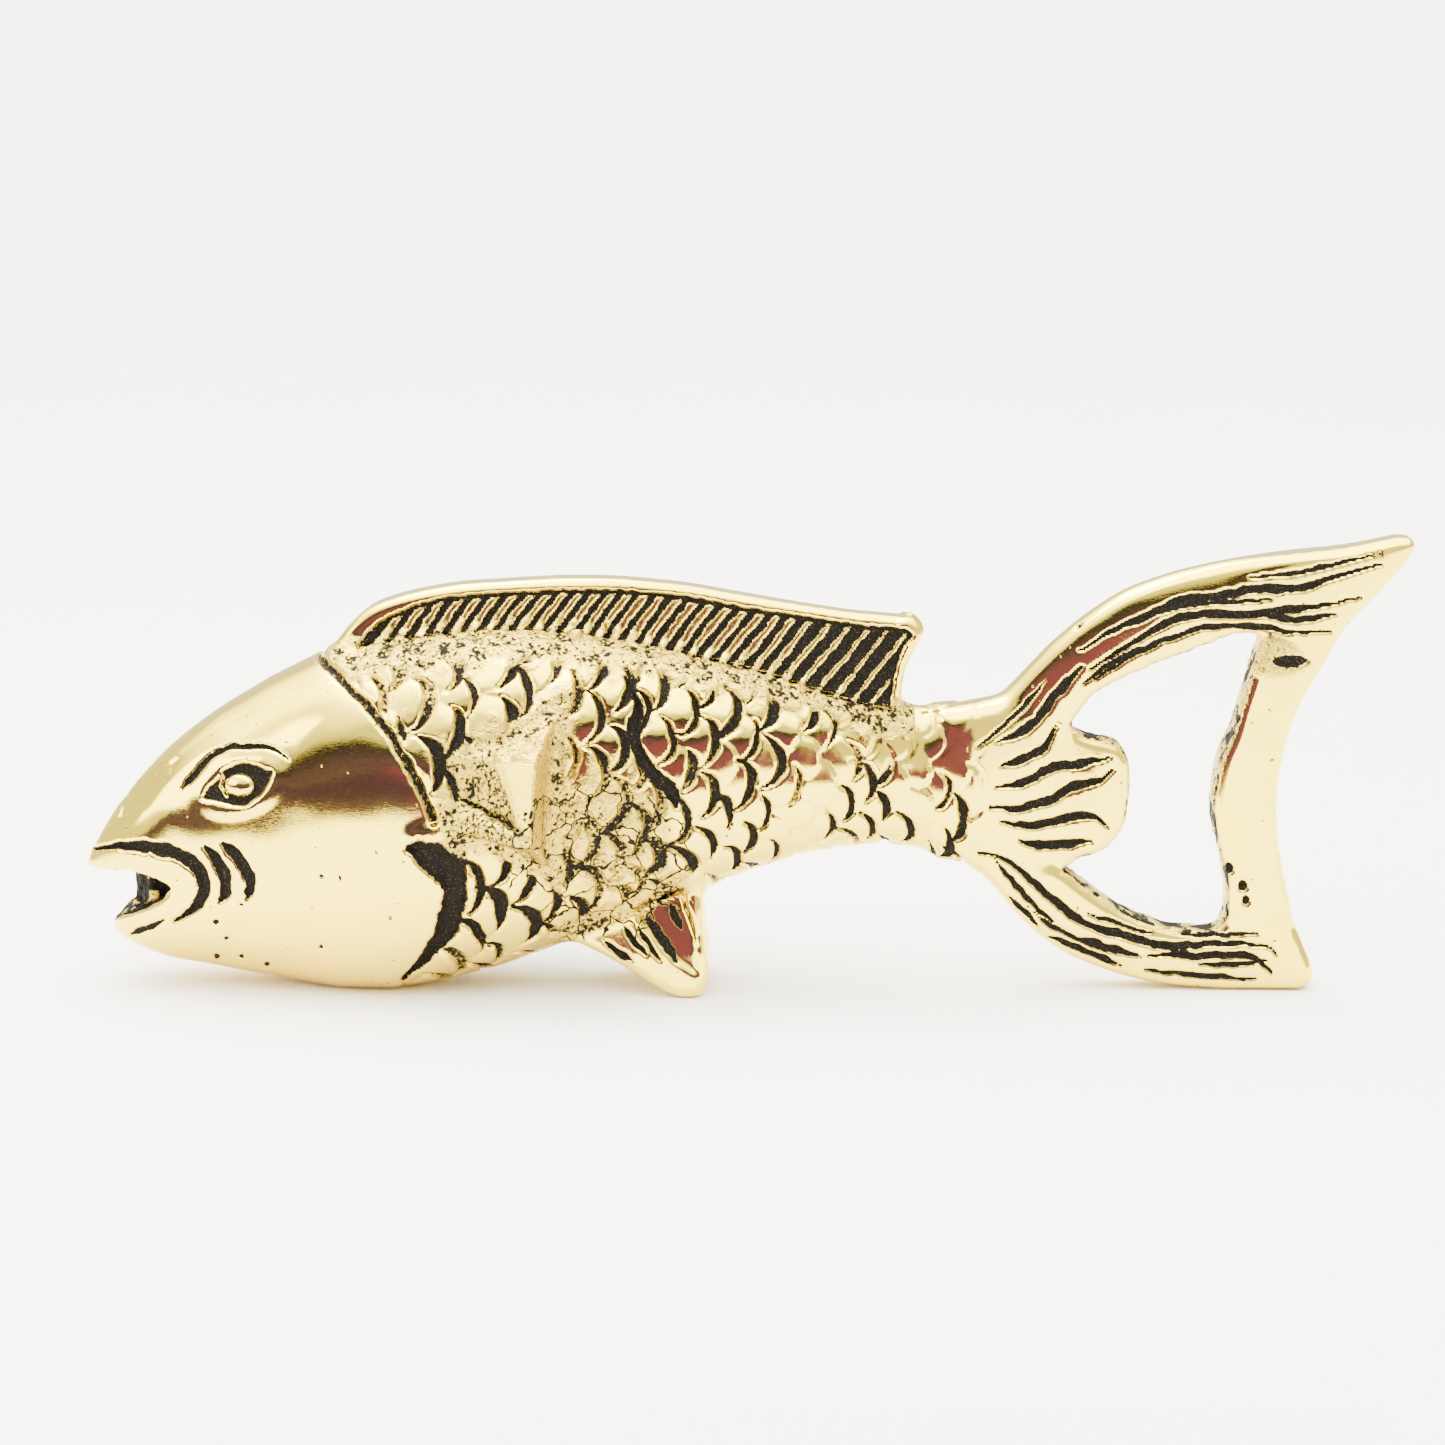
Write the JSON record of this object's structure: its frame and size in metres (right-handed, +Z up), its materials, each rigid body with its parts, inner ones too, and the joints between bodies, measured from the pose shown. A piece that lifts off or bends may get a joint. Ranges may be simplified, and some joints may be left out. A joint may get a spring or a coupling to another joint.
{
  "type": "fish bottle opener",
  "caption": "Solid cast fish that stands on its belly, fins and tail, with an open ring tail whose tongue and rear bar lift a crown cap.",
  "frame": {"origin": "on the ground plane, below the middle of the length and of the width", "axes": "+X from the lips to the tail, +Y towards the fish's right side, +Z up"},
  "size_m": [0.1469, 0.0336, 0.0516],
  "materials": {
    "brass": "polished, with dark patina in the recesses"
  },
  "bodies": {
    "root": {"head": "brass", "left_eye": "brass", "right_eye": "brass", "trunk": "brass", "dorsal_fin": "brass", "left_pectoral_fin": "brass", "right_pectoral_fin": "brass", "left_pelvic_fin": "brass", "right_pelvic_fin": "brass", "upper_tail_lobe": "brass", "lower_tail_lobe": "brass", "lifting_bar": "brass", "cap_tongue": "brass"}
  },
  "joints": []
}
